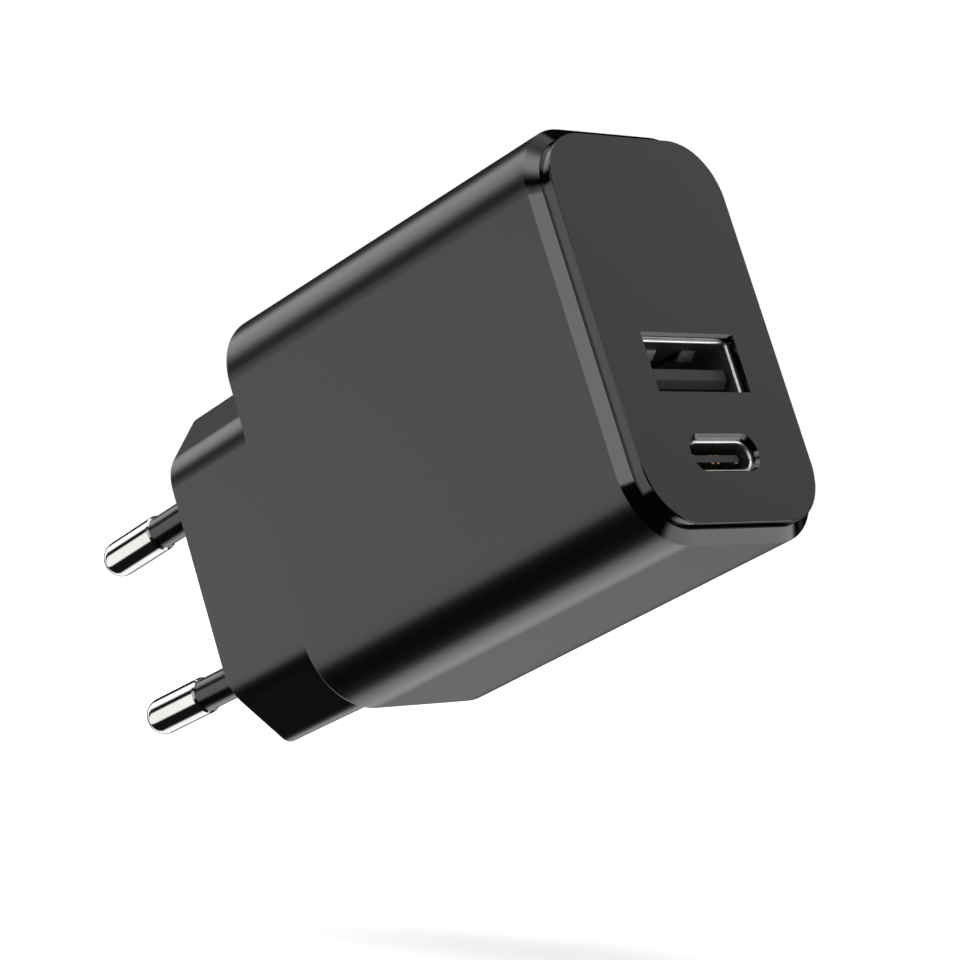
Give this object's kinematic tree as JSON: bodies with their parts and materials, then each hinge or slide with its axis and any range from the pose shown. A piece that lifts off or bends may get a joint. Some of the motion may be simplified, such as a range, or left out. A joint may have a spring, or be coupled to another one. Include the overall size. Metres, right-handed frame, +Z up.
{
  "type": "usb wall charger",
  "caption": "Compact black wall charger: rounded block with a round-pin mains plug on its back and a wide and a small oval charging socket in its front plate.",
  "frame": {"origin": "middle of the plug boss's flat back face, half way between the two pins, which is the face that meets the wall socket", "axes": "+Y along the pins, away from the body; the sockets face -Y; +Z up, with the wide socket above the small oval one; X across the pins"},
  "size_m": [0.0274, 0.0843, 0.042],
  "materials": {
    "shell_plastic": "smooth satin charcoal black moulded plastic",
    "plate_plastic": "smooth satin charcoal black moulded plastic, a shade darker",
    "pin_metal": "bright nickel plated brass, polished",
    "sleeve_plastic": "satin black moulded sleeve",
    "inner_plastic": "black moulded nylon",
    "contact_brass": "stamped brass, satin",
    "board_laminate": "green solder mask over glass laminate",
    "tinned_metal": "tinned wire and caps",
    "fuse_ceramic": "white ceramic tube",
    "varistor_coat": "blue epoxy dip",
    "x_cap_case": "yellow moulded case",
    "ferrite": "dark grey sintered ferrite",
    "copper_wire": "enamelled copper windings",
    "bobbin_plastic": "black phenolic moulding",
    "tape_film": "yellow polyester tape",
    "capacitor_sleeve": "dark shrink sleeve over an aluminium can",
    "y_cap_coat": "blue epoxy dip",
    "chip_epoxy": "black moulded epoxy",
    "polymer_can": "bare aluminium can",
    "card_sheet": "black insulating card",
    "spreader_metal": "rolled aluminium sheet",
    "pad_silicone": "grey blue silicone gap filler",
    "socket_metal": "dark nickel plated steel",
    "usb_a_plastic": "dark grey moulded nylon",
    "usb_c_plastic": "dark grey moulded nylon",
    "gold_contact": "gold plated copper"
  },
  "bodies": {
    "root": {"housing_shell": "shell_plastic", "face_plate": "plate_plastic", "pin_upper": "pin_metal", "pin_lower": "pin_metal", "sleeve_upper": "sleeve_plastic", "sleeve_lower": "sleeve_plastic", "pin_carrier": "inner_plastic", "contact_upper": "contact_brass", "contact_lower": "contact_brass", "input_board": "board_laminate", "link_leads": "tinned_metal", "link_header": "inner_plastic", "fuse_tube": "fuse_ceramic", "fuse_caps": "tinned_metal", "varistor": "varistor_coat", "main_board": "board_laminate", "x_capacitor": "x_cap_case", "choke_core": "ferrite", "choke_windings": "copper_wire", "choke_base": "bobbin_plastic", "transformer_core": "ferrite", "transformer_bobbin": "bobbin_plastic", "transformer_windings": "copper_wire", "transformer_tape": "tape_film", "bulk_capacitor_1": "capacitor_sleeve", "bulk_capacitor_2": "capacitor_sleeve", "bulk_capacitor_3": "capacitor_sleeve", "optocoupler": "chip_epoxy", "y_capacitor": "y_cap_coat", "power_switch": "chip_epoxy", "bridge_rectifier": "chip_epoxy", "port_board": "board_laminate", "output_capacitor_left": "polymer_can", "output_capacitor_right": "polymer_can", "protocol_chip": "chip_epoxy", "sync_rectifier": "chip_epoxy", "insulation_sheet": "card_sheet", "heat_spreader": "spreader_metal", "thermal_pad": "pad_silicone", "usb_a_shell": "socket_metal", "usb_a_insulator": "usb_a_plastic", "usb_a_contacts": "gold_contact", "usb_c_shell": "socket_metal", "usb_c_insulator": "usb_c_plastic", "usb_c_contacts": "gold_contact"}
  },
  "joints": []
}
